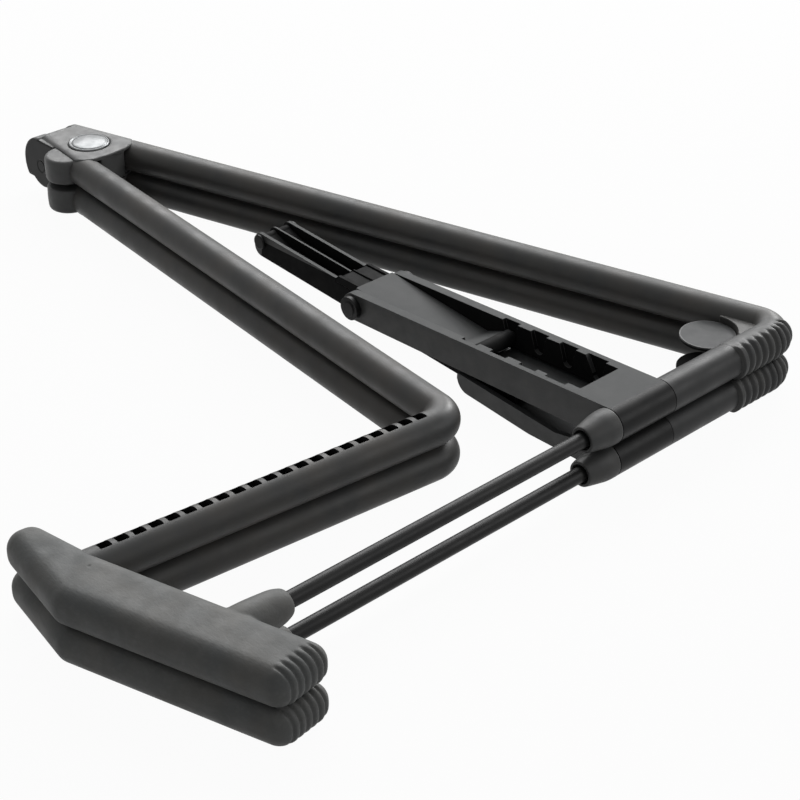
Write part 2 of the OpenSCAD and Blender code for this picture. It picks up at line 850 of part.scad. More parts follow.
module strut_plate() {
    polygon([[strut_plate_start, strut_top], [strut_slope_end, strut_slope_z], lock_at + [3, 2],
        lock_at + [3, -2], [strut_slope_end, slim_line(strut_slope_end, slim_top + side_gap)],
        [strut_slope_end + 6, slim_line(strut_slope_end + 6, slim_top + side_gap)],
        [strut_plate_start, strut_top - strut_plate_t]]);
}

module strut_rib() {
    low = slim_top + side_gap;
    polygon([[rib_start - 1.5, strut_top], [rib_start, strut_top - 1.5],
        [rib_start, slim_line(rib_start, low)], [strut_slope_end, slim_line(strut_slope_end, low)],
        [strut_slope_end, strut_slope_z], [strut_plate_start, strut_top]]);
}

module strut_finger() {
    eye_r = 3;
    inset = 0.3;
    top = -1.5;
    low = -6;
    far = 172;
    neck = 12;
    step = 2;
    root = strut_plate_start - 3;
    union() {
        translate(strut_eye_at) circle(r = eye_r);
        polygon([strut_eye_at + [0, eye_r - inset], strut_eye_at + [-neck, top],
            [rib_start + step, slim_line(rib_start + step, top)], [rib_start - step, strut_top - 0.5],
            [root, strut_top - 0.8], [far - 2 * step, slim_line(far, 1)],
            [far, slim_line(far, low)], [strut_eye_at.x - neck, slim_line(strut_eye_at.x - neck, low)],
            strut_eye_at + [0, inset - eye_r]]);
    }
}

module locking_strut() {
    color(moulded) translate([arm_mid_x, 0, 0]) difference() {
        union() {
            side_pull(-strut_half, strut_half) strut_plate();
            side_pull(-rib_t / 2, rib_t / 2) strut_rib();
            both_sides(slim_half - slim_wall, slim_half) strut_rib();
            both_sides(finger_inner, finger_side) strut_finger();
            side_pull(-strut_half, strut_half) translate(lock_at) circle(r = tail_r);
        }
        translate([0, strut_eye_at.x, strut_eye_at.y]) cross_bar(-30, 30, strut_pin_r + fit);
        translate([0, lock_at.x, lock_at.y]) cross_bar(-30, 30, lock_pin_r + fit);
    }
}

module lock_pin() {
    color(blackened) translate([arm_mid_x, lock_at.x, lock_at.y]) cross_bar(-lock_half, lock_half, lock_pin_r);
}

upper() rear_leg();  // upper_rear_leg
upper() front_leg();  // upper_front_leg
upper() foot_bar();  // upper_foot_bar
upper() tie_rod();  // upper_tie_rod
upper() nose_cone();  // upper_nose_cone
upper() axle_bush();  // upper_axle_bush
upper() rear_boot();  // upper_rear_boot
upper() corner_plate();  // upper_corner_plate
upper() { upper_head_block(); rear_plug(); }
upper() leg_drum();  // upper_leg_drum
upper() badge();  // upper_badge
upper() head_screw();  // upper_head_screw
lower() rear_leg();  // lower_rear_leg
lower() front_leg();  // lower_front_leg
lower() foot_bar();  // lower_foot_bar
lower() tie_rod();  // lower_tie_rod
lower() nose_cone();  // lower_nose_cone
lower() axle_bush();  // lower_axle_bush
lower() rear_boot();  // lower_rear_boot
lower() corner_plate();  // lower_corner_plate
seat() { lower_head_block(); mirror([0, 0, 1]) rear_plug(); }
lower() leg_drum();  // lower_leg_drum
lower() badge();  // lower_badge
lower() head_screw();  // lower_head_screw
seat() hinge_pin();
seat() upper_arm();
seat() elbow_pin();
seat() lower_arm();
seat() strut_pin();
seat() locking_strut();
seat() lock_pin();
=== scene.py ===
"""Looks of the folding guitar stand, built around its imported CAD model."""
import json
import math

import bmesh
import bpy
from mathutils import Matrix, Vector
from mathutils.bvhtree import BVHTree

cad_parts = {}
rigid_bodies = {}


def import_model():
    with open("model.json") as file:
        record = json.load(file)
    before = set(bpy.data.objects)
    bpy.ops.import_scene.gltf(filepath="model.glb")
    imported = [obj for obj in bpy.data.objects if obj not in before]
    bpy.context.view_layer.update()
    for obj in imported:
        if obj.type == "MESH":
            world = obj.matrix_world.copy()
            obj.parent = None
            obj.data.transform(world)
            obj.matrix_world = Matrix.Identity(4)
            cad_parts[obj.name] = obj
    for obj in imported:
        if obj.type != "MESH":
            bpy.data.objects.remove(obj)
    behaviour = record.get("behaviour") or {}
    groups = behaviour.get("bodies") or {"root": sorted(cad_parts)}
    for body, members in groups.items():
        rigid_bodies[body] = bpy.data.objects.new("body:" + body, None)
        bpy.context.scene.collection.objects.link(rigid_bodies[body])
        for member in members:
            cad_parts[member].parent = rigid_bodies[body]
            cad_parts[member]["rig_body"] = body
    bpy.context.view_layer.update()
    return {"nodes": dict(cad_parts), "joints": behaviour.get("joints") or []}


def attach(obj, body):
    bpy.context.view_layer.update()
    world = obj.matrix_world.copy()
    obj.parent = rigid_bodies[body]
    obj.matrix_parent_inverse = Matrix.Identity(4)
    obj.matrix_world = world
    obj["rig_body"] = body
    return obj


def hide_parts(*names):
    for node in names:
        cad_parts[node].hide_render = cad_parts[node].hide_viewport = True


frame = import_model()

MM = 0.001
UP = Vector((0, 0, 1))
X_AXIS = Vector((1, 0, 0))
HALVES = (("upper", False), ("lower", True))

# Pieces are drawn in the CAD drawing's millimetres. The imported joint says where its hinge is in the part
HINGE = Vector((-119.986, 391.997, 0))
SEAT = Vector(frame["joints"][0]["pos_m"]) - HINGE * MM

# Tubes: height of the upper axes over the fold, radii, directions in degrees, lengths and bend radii
HALF_H = 8.4
TUBE_R = 8.0
BORE_R = 6.1
REAR_DIR = 106.0
FOOT_DIR = 180.0
REAR_LEN = 370
FOOT_LEN = 83.5
REAR_BEND = 9.4
REAR_CORNER = Vector((0, 0, HALF_H))
FRONT_DIR = 84.398
REST_DIR = 174.3
FRONT_LEN = 312.996
REST_LEN = 176
FRONT_BEND = 10
FRONT_CORNER = Vector((-162.7, 47.2, HALF_H))


def ray(degrees):
    """Level unit vector in a direction of the plan."""
    angle = math.radians(degrees)
    return Vector((math.cos(angle), math.sin(angle), 0))


# Camera, at the photograph's place
CAMERA_AT = Vector((-633.96, -428.45, 430.29))
CAMERA_AIM = Vector((0.5798, 0.6239, -0.5240))
LENS = 85.5


def make_camera():
    data = bpy.data.cameras.new("camera")
    data.sensor_width = 36
    data.lens = LENS
    data.clip_start = 0.01
    data.clip_end = 20
    camera = bpy.data.objects.new("camera", data)
    camera.location = SEAT + CAMERA_AT * MM
    camera.rotation_euler = CAMERA_AIM.to_track_quat("-Z", "Y").to_euler()
    bpy.context.scene.collection.objects.link(camera)
    bpy.context.scene.camera = camera


make_camera()


# Materials
class Nodes:
    """Short calls for building one material's node tree."""

    def __init__(self, name):
        self.material = bpy.data.materials.new(name)
        self.material.use_nodes = True
        self.tree = self.material.node_tree
        self.shader = self.tree.nodes["Principled BSDF"]
        self.coords = self.tree.nodes.new("ShaderNodeTexCoord").outputs["Object"]

    def link(self, output, socket):
        self.tree.links.new(output, socket)

    def noise(self, size_mm, detail=3, stretch=None, seed=0.0):
        """Noise whose blobs are about size_mm across."""
        node = self.tree.nodes.new("ShaderNodeTexNoise")
        node.inputs["Scale"].default_value = 1 / (size_mm * MM)
        node.inputs["Detail"].default_value = detail
        mapping = self.tree.nodes.new("ShaderNodeMapping")
        mapping.inputs["Location"].default_value = (seed, seed * 0.7, seed * 0.3)
        if stretch:
            mapping.inputs["Scale"].default_value = stretch
        self.link(self.coords, mapping.inputs["Vector"])
        self.link(mapping.outputs["Vector"], node.inputs["Vector"])
        return node.outputs["Fac"]

    def spread(self, value, low, high, start=0.35, end=0.65):
        """Maps a value that runs from start to end onto low to high."""
        node = self.tree.nodes.new("ShaderNodeMapRange")
        node.inputs["From Min"].default_value = start
        node.inputs["From Max"].default_value = end
        node.inputs["To Min"].default_value = low
        node.inputs["To Max"].default_value = high
        self.link(value, node.inputs["Value"])
        return node.outputs["Result"]

    def blend(self, factor, first, second):
        """Mixes two colours, each a tuple or a node's output."""
        node = self.tree.nodes.new("ShaderNodeMix")
        node.data_type = "RGBA"
        self.link(factor, node.inputs["Factor"])
        for socket, colour in ((node.inputs["A"], first), (node.inputs["B"], second)):
            if isinstance(colour, tuple):
                socket.default_value = (*colour, 1)
            else:
                self.link(colour, socket)
        return node.outputs["Result"]

    def bump(self, height, depth_mm, strength, under=None):
        """Bump of a height, on top of the bump under it."""
        node = self.tree.nodes.new("ShaderNodeBump")
        node.inputs["Strength"].default_value = strength
        node.inputs["Distance"].default_value = depth_mm * MM
        self.link(height, node.inputs["Height"])
        if under:
            self.link(under, node.inputs["Normal"])
        return node.outputs["Normal"]

    def finish(self, colour, rough, normal, specular, metallic=0.0):
        self.link(colour, self.shader.inputs["Base Color"])
        self.link(rough, self.shader.inputs["Roughness"])
        self.link(normal, self.shader.inputs["Normal"])
        self.shader.inputs["Specular IOR Level"].default_value = specular
        self.shader.inputs["Metallic"].default_value = metallic
        return self.material


# The rear tube is darker along the foot tube, between these distances from the bend
FOOT_DARK_AT = 42
FOOT_PLAIN_AT = 16
# The distance is taken in a direction that keeps the rear leg on the plain side
COATING_TURN = 20


def coating(name, darker_foot=False):
    """Soft satin coating of the tubes, which can be darker along the foot tube away from its bend."""
    n = Nodes(name)
    mottle = n.spread(n.noise(26, detail=4), 0, 1, start=0.38, end=0.66)
    colour = n.blend(mottle, (0.0425, 0.0436, 0.0434), (0.0595, 0.0560, 0.0520))
    smudge = n.spread(n.noise(7, detail=5, seed=3.1), 0, 0.35, start=0.45, end=0.75)
    colour = n.blend(smudge, colour, (0.066, 0.064, 0.060))
    if darker_foot:
        turned = n.tree.nodes.new("ShaderNodeMapping")
        turned.inputs["Rotation"].default_value = (0, 0, math.radians(-COATING_TURN))
        n.link(n.coords, turned.inputs["Vector"])
        parts = n.tree.nodes.new("ShaderNodeSeparateXYZ")
        n.link(turned.outputs["Vector"], parts.inputs["Vector"])
        bend_at = SEAT.dot(ray(COATING_TURN))
        deep = n.spread(parts.outputs["X"], 1, 0, start=bend_at - FOOT_DARK_AT * MM,
                        end=bend_at - FOOT_PLAIN_AT * MM)
        colour = n.blend(deep, colour, (0.016, 0.0164, 0.0166))
    rough = n.spread(n.noise(11, detail=4, seed=1.7), 0.40, 0.52)
    wave = n.bump(n.noise(6, detail=2, seed=5.0), 0.25, 0.18)
    grain = n.bump(n.noise(0.55), 0.05, 0.35, wave)
    return n.finish(colour, rough, grain, 0.22)


def bar_rubber():
    """Grained rubber of the foot bars."""
    n = Nodes("foot_rubber")
    mottle = n.spread(n.noise(18, detail=4, seed=2.0), 0, 1, start=0.36, end=0.68)
    colour = n.blend(mottle, (0.062, 0.0648, 0.0642), (0.080, 0.0790, 0.0745))
    worn = n.spread(n.noise(2.4, detail=4, seed=4.0), 0, 0.4, start=0.5, end=0.78)
    colour = n.blend(worn, colour, (0.098, 0.099, 0.098))
    rough = n.spread(n.noise(9, seed=6.0), 0.56, 0.66)
    wave = n.bump(n.noise(2.8, seed=8.0), 0.3, 0.3)
    leather = n.bump(n.noise(0.9, detail=4, stretch=(1, 0.45, 1)), 0.16, 0.5, wave)
    return n.finish(colour, rough, leather, 0.32)


def two_tone(name, dark, light, patches, rough, rough_patches, grain, depth_mm, strength, specular,
             metallic=0.0, contrast=(0.35, 0.65)):
    """Finish that drifts between two colours and two degrees of gloss, under a fine grain."""
    n = Nodes(name)
    colour = n.blend(n.spread(n.noise(**patches), 0, 1, *contrast), dark, light)
    gloss = n.spread(n.noise(**rough_patches), *rough)
    bumps = n.bump(n.noise(**grain), depth_mm, strength)
    return n.finish(colour, gloss, bumps, specular, metallic)


COATING = coating("frame_coating")
REAR_COATING = coating("rear_coating", True)
BAR_RUBBER = bar_rubber()

# Darker rubber of the ribbed boots and rod cones
BOOT_RUBBER = two_tone(
    "boot_rubber", dark=(0.034, 0.035, 0.0355), light=(0.047, 0.047, 0.0455),
    patches=dict(size_mm=12, seed=9.0), rough=(0.46, 0.58), rough_patches=dict(size_mm=5, seed=2.5),
    grain=dict(size_mm=0.5, seed=7.0), depth_mm=0.06, strength=0.4, specular=0.25)

# Glass-filled plastic of the arms, with a fine spark-eroded grain
MOULDED = two_tone(
    "moulded_plastic", dark=(0.054, 0.0560, 0.0565), light=(0.064, 0.0655, 0.0655),
    patches=dict(size_mm=16, detail=4, stretch=(1, 0.35, 1), seed=1.0), contrast=(0.36, 0.68),
    rough=(0.48, 0.53), rough_patches=dict(size_mm=4, seed=3.0),
    grain=dict(size_mm=0.32, detail=2, seed=5.0), depth_mm=0.04, strength=0.4, specular=0.07)

# Head castings, a little lighter and smoother than the arms. The same colour is painted light on the arms'
# side faces and a painted highlight on the rims of the cones and discs
CASTING_AND_PAINTED_LIGHT = two_tone(
    "head_casting", dark=(0.066, 0.0675, 0.0675), light=(0.088, 0.0885, 0.0875),
    patches=dict(size_mm=13, detail=4, seed=6.0),
    rough=(0.40, 0.52), rough_patches=dict(size_mm=5, seed=8.0),
    grain=dict(size_mm=0.4, seed=1.0), depth_mm=0.05, strength=0.4, specular=0.25)

# Powder-coated black steel of the rods and pins
STEEL = two_tone(
    "black_steel", dark=(0.010, 0.0102, 0.0105), light=(0.015, 0.015, 0.0147),
    patches=dict(size_mm=20, seed=4.0), rough=(0.36, 0.44), rough_patches=dict(size_mm=6, seed=7.0),
    grain=dict(size_mm=1.1, detail=2, seed=2.0), depth_mm=0.02, strength=0.15, specular=0.14)

# Smooth grey face of the corner discs
DISC = two_tone(
    "disc_face", dark=(0.040, 0.0415, 0.0425), light=(0.052, 0.0535, 0.0545),
    patches=dict(size_mm=9, seed=5.5), rough=(0.42, 0.50), rough_patches=dict(size_mm=3, seed=2.5),
    grain=dict(size_mm=0.5, detail=2, seed=9.0), depth_mm=0.03, strength=0.3, specular=0.10)

# Painted shade: flat black for the bores, the windows' cut faces, the channel walls and other recesses of
# the arms, and the plate at the back of the discs, which is black plastic
PAINTED_SHADE = two_tone(
    "painted_shade_black", dark=(0.008, 0.0082, 0.0085), light=(0.013, 0.013, 0.0128),
    patches=dict(size_mm=11, seed=5.2), rough=(0.52, 0.62), rough_patches=dict(size_mm=4, seed=1.2),
    grain=dict(size_mm=0.5, detail=2, seed=6.0), depth_mm=0.03, strength=0.3, specular=0.03)

# Painted shade: a darker copy of a satin finish for the arms' barrels, the hinge knuckles and the hinge
# pin
BARREL_SHADE = two_tone(
    "barrel_painted_shade", dark=(0.009, 0.0093, 0.0095), light=(0.013, 0.013, 0.0128),
    patches=dict(size_mm=14, seed=2.2), rough=(0.33, 0.40), rough_patches=dict(size_mm=6, seed=3.3),
    grain=dict(size_mm=0.5, detail=2, seed=4.0), depth_mm=0.04, strength=0.35, specular=0.11)

# Polished badge with fine turning marks
BADGE = two_tone(
    "badge_metal", dark=(0.10, 0.104, 0.106), light=(0.14, 0.143, 0.145),
    patches=dict(size_mm=5, detail=4, seed=3.0), rough=(0.34, 0.44),
    rough_patches=dict(size_mm=2, detail=4, seed=6.0),
    grain=dict(size_mm=0.25, detail=2, stretch=(0.12, 1, 1)), depth_mm=0.01, strength=0.3,
    specular=0.5, metallic=1.0)

# Brushed steel of the head screws
SCREW = two_tone(
    "bright_steel", dark=(0.45, 0.45, 0.46), light=(0.58, 0.58, 0.59),
    patches=dict(size_mm=3), rough=(0.28, 0.4), rough_patches=dict(size_mm=1.5),
    grain=dict(size_mm=0.3, detail=2, stretch=(1, 0.1, 1)), depth_mm=0.01, strength=0.3,
    specular=0.5, metallic=1.0)


# Objects and pieces
def linked(name, bm, material=None):
    """An object in the scene that takes over a mesh."""
    mesh = bpy.data.meshes.new(name)
    bm.to_mesh(mesh)
    bm.free()
    piece = bpy.data.objects.new(name, mesh)
    bpy.context.scene.collection.objects.link(piece)
    if material:
        mesh.materials.append(material)
    return piece


def shade(mesh, sharp):
    """Shades a mesh smooth, apart from edges sharper than so many degrees."""
    for polygon in mesh.polygons:
        polygon.use_smooth = True
    mesh.set_sharp_from_angle(angle=math.radians(sharp))


def make_object(name, bm, material, flip=False, sharp=40):
    """Turns a drawing-frame mesh into an object of the part, mirrored down for the lower half."""
    if flip:
        mirror(bm)
    bmesh.ops.scale(bm, vec=(MM, MM, MM), verts=bm.verts)
    bmesh.ops.translate(bm, vec=SEAT, verts=bm.verts)
    piece = linked(name, bm, material)
    shade(piece.data, sharp)
    return piece


def stands_for(piece, node):
    """Lets a piece stand for a CAD node and move with its body."""
    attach(piece, frame["nodes"][node]["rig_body"])
    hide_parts(node)


def evaluated(piece):
    """Applies the piece's modifiers to its mesh."""
    bpy.context.view_layer.update()
    graph = bpy.context.evaluated_depsgraph_get()
    mesh = bpy.data.meshes.new_from_object(piece.evaluated_get(graph))
    piece.modifiers.clear()
    old = piece.data
    piece.data = mesh
    bpy.data.meshes.remove(old)
    mesh.name = piece.name


def softened(node, material, width):
    """A copy of a CAD node with rounded edges, which stands for it. The width is in millimetres."""
    bm = bmesh.new()
    bm.from_mesh(frame["nodes"][node].data)
    bmesh.ops.remove_doubles(bm, verts=bm.verts, dist=0.002 * MM)
    bmesh.ops.dissolve_limit(bm, angle_limit=math.radians(0.6), verts=bm.verts, edges=bm.edges)
    piece = linked(node + "_look", bm, material)
    bevel = piece.modifiers.new("edges", "BEVEL")
    bevel.width = width * MM
    bevel.segments = 3
    bevel.limit_method = "ANGLE"
    bevel.angle_limit = math.radians(30)
    bevel.use_clamp_overlap = True
    bevel.harden_normals = False
    shade(piece.data, 180)
    normals = piece.modifiers.new("normals", "WEIGHTED_NORMAL")
    normals.keep_sharp = False
    evaluated(piece)
    stands_for(piece, node)
    return piece


# Mesh helpers, all in drawing millimetres
def mirror(bm):
    """Mirrors a mesh through the fold between the two halves."""
    bmesh.ops.scale(bm, vec=(1, 1, -1), verts=bm.verts)
    bmesh.ops.reverse_faces(bm, faces=bm.faces)


def merge(bm, other):
    """Adds another mesh, which is then freed."""
    mesh = bpy.data.meshes.new("merged")
    other.to_mesh(mesh)
    other.free()
    bm.from_mesh(mesh)
    bpy.data.meshes.remove(mesh)


def drawn(node, flip):
    """A CAD node's mesh in drawing millimetres, seen as its upper twin."""
    bm = bmesh.new()
    bm.from_mesh(frame["nodes"][node].data)
    bmesh.ops.translate(bm, vec=-SEAT, verts=bm.verts)
    bmesh.ops.scale(bm, vec=(1 / MM, 1 / MM, 1 / MM), verts=bm.verts)
    if flip:
        mirror(bm)
    return bm


def paint_from(bm, first, index):
    """Gives a mesh's faces, from the one numbered first onwards, a material index."""
    bm.faces.ensure_lookup_table()
    for face in bm.faces[first:]:
        face.material_index = index


def ring_mesh(bm, rings):
    """Skins a list of rings of points with quads, and caps the two ends."""
    loops = [[bm.verts.new(point) for point in ring] for ring in rings]
    count = len(loops[0])
    for near, far in zip(loops, loops[1:]):
        for i in range(count):
            j = (i + 1) % count
            bm.faces.new((near[i], near[j], far[j], far[i]))
    bm.faces.new(list(reversed(loops[0])))
    bm.faces.new(loops[-1])
    return bm


def circle(centre, radius, side, other, segments):
    """Points round a centre, in the plane of two unit vectors."""
    turns = [2 * math.pi * i / segments for i in range(segments)]
    return [centre + radius * (math.cos(t) * side + math.sin(t) * other) for t in turns]


def sweep(bm, stations, radius, segments=56):
    """Round skin along a level path of (point, heading)."""
    return ring_mesh(bm, [circle(point, radius, heading.cross(UP), UP, segments)
                          for point, heading in stations])


def lathe(bm, profile, origin, axis, segments=56):
    """Turns a profile of (distance along the axis, radius) round the axis."""
    side = axis.orthogonal().normalized()
    other = axis.cross(side)
    return ring_mesh(bm, [circle(origin + along * axis, radius, side, other, segments)
                          for along, radius in profile])


def prism(bm, outline, low, high):
    """Upright block over a level outline of 2D points, listed anticlockwise."""
    rings = [[Vector((x, y, z)) for x, y in outline] for z in (low, high)]
    return ring_mesh(bm, rings)


def rounded(points, radii, steps=5):
    """Rounds the inner corners of an open outline of 2D points."""
    out = [points[0]]
    for before, corner, after, radius in zip(points, points[1:], points[2:], radii):
        a, b, c = Vector(before), Vector(corner), Vector(after)
        towards, away = (a - b).normalized(), (c - b).normalized()
        reach = min(radius, (a - b).length * 0.49, (c - b).length * 0.49)
        start, end = b + towards * reach, b + away * reach
        for i in range(steps + 1):
            t = i / steps
            out.append(tuple((1 - t) ** 2 * start + 2 * t * (1 - t) * b + t * t * end))
    out.append(points[-1])
    return out


def bent_path(corner, low_dir, high_dir, bend, low_len, high_len, step=3.0):
    """Stations of an axis with one bend, from the end of its high leg to the end of its low leg."""
    low, high = ray(low_dir), ray(high_dir)
    turn_by = 180 - high_dir + low_dir
    skip = bend * math.tan(math.radians(turn_by / 2))
    to_centre = bend / math.sin(math.radians((high_dir - low_dir) / 2))
    centre = corner + to_centre * ray((low_dir + high_dir) / 2)
    stations = []
    count = math.ceil((high_len - skip) / step)
    for i in range(count):
        stations.append((corner + high * (high_len + (skip - high_len) * i / count), -high))
    arcs = max(28, math.ceil(bend * math.radians(turn_by) / step))
    for i in range(arcs + 1):
        angle = high_dir + 90 + turn_by * i / arcs
        stations.append((centre + bend * ray(angle), ray(angle + 90)))
    count = math.ceil((low_len - skip) / step)
    for i in range(1, count + 1):
        stations.append((corner + low * (skip + (low_len - skip) * i / count), low))
    return stations


def reskinned(bm, voxel, passes):
    """One closed skin over a mesh's overlapping shells, with its edges worn round."""
    piece = linked("shells", bm)
    skin = piece.modifiers.new("skin", "REMESH")
    skin.mode = "VOXEL"
    skin.voxel_size = voxel
    smooth = piece.modifiers.new("smooth", "SMOOTH")
    smooth.factor = 0.5
    smooth.iterations = passes
    evaluated(piece)
    skinned = bmesh.new()
    skinned.from_mesh(piece.data)
    bpy.data.objects.remove(piece)
    skinned.normal_update()
    return skinned


def smoothstep(low, high, value):
    """Soft step from 0 at low to 1 at high."""
    t = min(1, max(0, (value - low) / (high - low)))
    return t * t * (3 - 2 * t)


# Bent tubes
def rear_legs():
    stations = bent_path(REAR_CORNER, REAR_DIR, FOOT_DIR, REAR_BEND, REAR_LEN, FOOT_LEN)
    for half, flip in HALVES:
        bm = sweep(bmesh.new(), stations, TUBE_R)
        piece = make_object(half + "_rear_leg_look", bm, REAR_COATING, flip)
        stands_for(piece, half + "_rear_leg")


WINDOW_COUNT = 21
WINDOW_START = 16.1
WINDOW_PITCH = 7.38
WINDOW_SIZE = (5.2, 7.3, 8)
WINDOW_LIFT = 6
# The row of windows leans round the tube by so many degrees
WINDOW_TURN = 19
WINDOW_ROUND = 0.25


def window_cutter():
    """Blocks with softened long edges, one for each window of the rest tube."""
    bm = bmesh.new()
    along = Matrix.Rotation(math.radians(REST_DIR), 4, "Z")
    turn = along @ Matrix.Rotation(math.radians(WINDOW_TURN), 4, "X")
    for i in range(WINDOW_COUNT):
        place = FRONT_CORNER + (WINDOW_START + i * WINDOW_PITCH) * ray(REST_DIR)
        made = bmesh.ops.create_cube(bm, size=1)["verts"]
        bmesh.ops.scale(bm, vec=WINDOW_SIZE, verts=made)
        bmesh.ops.translate(bm, vec=WINDOW_LIFT * UP, verts=made)
        bmesh.ops.transform(bm, matrix=Matrix.Translation(place) @ turn, verts=made)
    long_edge = (WINDOW_SIZE[0] + WINDOW_SIZE[1]) / 2
    edges = [e for e in bm.edges if (e.verts[0].co - e.verts[1].co).length > long_edge]
    bmesh.ops.bevel(bm, geom=edges, offset=WINDOW_ROUND, segments=2, affect="EDGES")
    return bm


def front_legs():
    """Hollow front tubes with the windows cut through the wall of the rest tube; the bores and the
    windows' cut faces take painted shade.
    """
    stations = bent_path(FRONT_CORNER, FRONT_DIR, REST_DIR, FRONT_BEND, FRONT_LEN, REST_LEN)
    for half, flip in HALVES:
        bm = sweep(bmesh.new(), stations, TUBE_R)
        # The bore stops short of the tube's two ends
        inner = sweep(bmesh.new(), stations[2:-2], BORE_R, 40)
        bmesh.ops.reverse_faces(inner, faces=inner.faces)
        outside = len(bm.faces)
        merge(bm, inner)
        # The bore's faces take the flat black of painted shade
        paint_from(bm, outside, 1)
        piece = make_object(half + "_front_leg_look", bm, COATING, flip)
        piece.data.materials.append(PAINTED_SHADE)
        cutter = make_object("window_cutter", window_cutter(), COATING, flip)
        cutter.data.materials.append(PAINTED_SHADE)
        # The windows' cut faces take painted shade
        for polygon in cutter.data.polygons:
            polygon.material_index = 1
        cut = piece.modifiers.new("windows", "BOOLEAN")
        cut.operation = "DIFFERENCE"
        cut.object = cutter
        cut.solver = "EXACT"
        evaluated(piece)
        bpy.data.objects.remove(cutter)
        shade(piece.data, 40)
        stands_for(piece, half + "_front_leg")


# Foot bars. BAR_AT is where the tie rod's axis meets the bar's own, which bends at the knee
BAR_AT = Vector((-326.083, 0, 0))
BAR_TO_END = 43.5
BAR_TO_KNEE = 61.5
BAR_TIP_LEN = 38
BAR_TIP_SHIFT = 2.4
BAR_LOW = 0.2
BAR_HIGH = 17.3
BAR_ROUND = 7.5
BAR_HALF = 14
BAR_TIP_HALF = 8.5
BAR_SIDE = ray(REAR_DIR - 90)
BAR_FOOT = BAR_AT - (BAR_TO_END - BAR_ROUND) * ray(REAR_DIR)
BAR_KNEE = BAR_AT + BAR_TO_KNEE * ray(REAR_DIR)
BAR_TIP = BAR_KNEE + (BAR_TIP_LEN - BAR_ROUND) * ray(FRONT_DIR) - BAR_TIP_SHIFT * X_AXIS
# The knee's outer corner stands proud and lies nearer the foot
KNEE_PROUD = 1.8
KNEE_SHIFT = 5
# The socket for the tie rod and the collar round the rest tube, as (distance from the bar, radius)
SOCKET_PROFILE = [(0, 0.1), (0, 8.2), (17, 8.1), (30, 6.9), (34.5, 5.2), (34.5, 0.1)]
SOCKET_ROUNDS = [0.5, 6, 2.5, 1.5]
COLLAR_PROFILE = [(-7, 0.1), (-7, 8.2), (1.5, 8.25), (3.2, 8.05), (3.2, 0.1)]
COLLAR_ROUNDS = [1, 1, 1]
BAR_VOXEL = 0.45
BAR_PASSES = 10

# Grip grooves in the bar's lower end, counted across the bar, and the slant of that end
GROOVE_COUNT = 6
GROOVE_FIRST = -8.2
GROOVE_PITCH = 3.3
GROOVE_WIDTH = 0.62
GROOVE_DEPTH = 1.05
GROOVE_BLEND = 2.0
# Farther than this to its side, the bar runs into its socket and its collar
BAR_REACH = 15
SLANT = 0.143
SLANT_FROM = -16
SLANT_TO = 4
GATE_AT = Vector((-338, 56, BAR_HIGH))
GATE_R = 0.9
GATE_DEPTH = 0.35


def bar_span(bm, start, end):
    """Rounded block between two sections of the bar, as the hull of eight balls."""
    points = bmesh.new()
    for level in (BAR_LOW + BAR_ROUND, BAR_HIGH - BAR_ROUND):
        for sign in (-1, 1):
            for middle, side, reach in (start, end):
                centre = middle + sign * reach * side + level * UP
                made = bmesh.ops.create_uvsphere(points, u_segments=32, v_segments=16, radius=BAR_ROUND)
                bmesh.ops.translate(points, vec=centre, verts=made["verts"])
    hull = bmesh.ops.convex_hull(points, input=points.verts)
    inside = [g for g in hull["geom_interior"] if isinstance(g, bmesh.types.BMVert)]
    bmesh.ops.delete(points, geom=inside, context="VERTS")
    merge(bm, points)


def bar_section(inner, outer):
    """Section of the bar between its two rows of ball centres, as (middle, side, reach)."""
    half = (inner - outer) / 2
    return (inner + outer) / 2, half.normalized(), half.length


def bar_sections():
    """Sections of the bar at its foot, knee and tip."""
    wide = BAR_HALF - BAR_ROUND
    tip_wide = BAR_TIP_HALF - BAR_ROUND
    tip_side = ray(FRONT_DIR - 90)
    knee_outer = BAR_KNEE - (wide + KNEE_PROUD) * BAR_SIDE - KNEE_SHIFT * ray(REAR_DIR)
    return (bar_section(BAR_FOOT + wide * BAR_SIDE, BAR_FOOT - wide * BAR_SIDE),
            bar_section(BAR_KNEE + wide * BAR_SIDE, knee_outer),
            bar_section(BAR_TIP + tip_wide * tip_side, BAR_TIP - tip_wide * tip_side))


def bar_shape():
    """The bar with its socket and its collar, as loose shells."""
    bm = bmesh.new()
    sections = bar_sections()
    for near, far in zip(sections, sections[1:]):
        bar_span(bm, near, far)
    lathe(bm, rounded(SOCKET_PROFILE, SOCKET_ROUNDS), BAR_AT + HALF_H * UP, X_AXIS)
    rest_end = FRONT_CORNER + REST_LEN * ray(REST_DIR)
    lathe(bm, rounded(COLLAR_PROFILE, COLLAR_ROUNDS), rest_end, -ray(REST_DIR))
    return bm


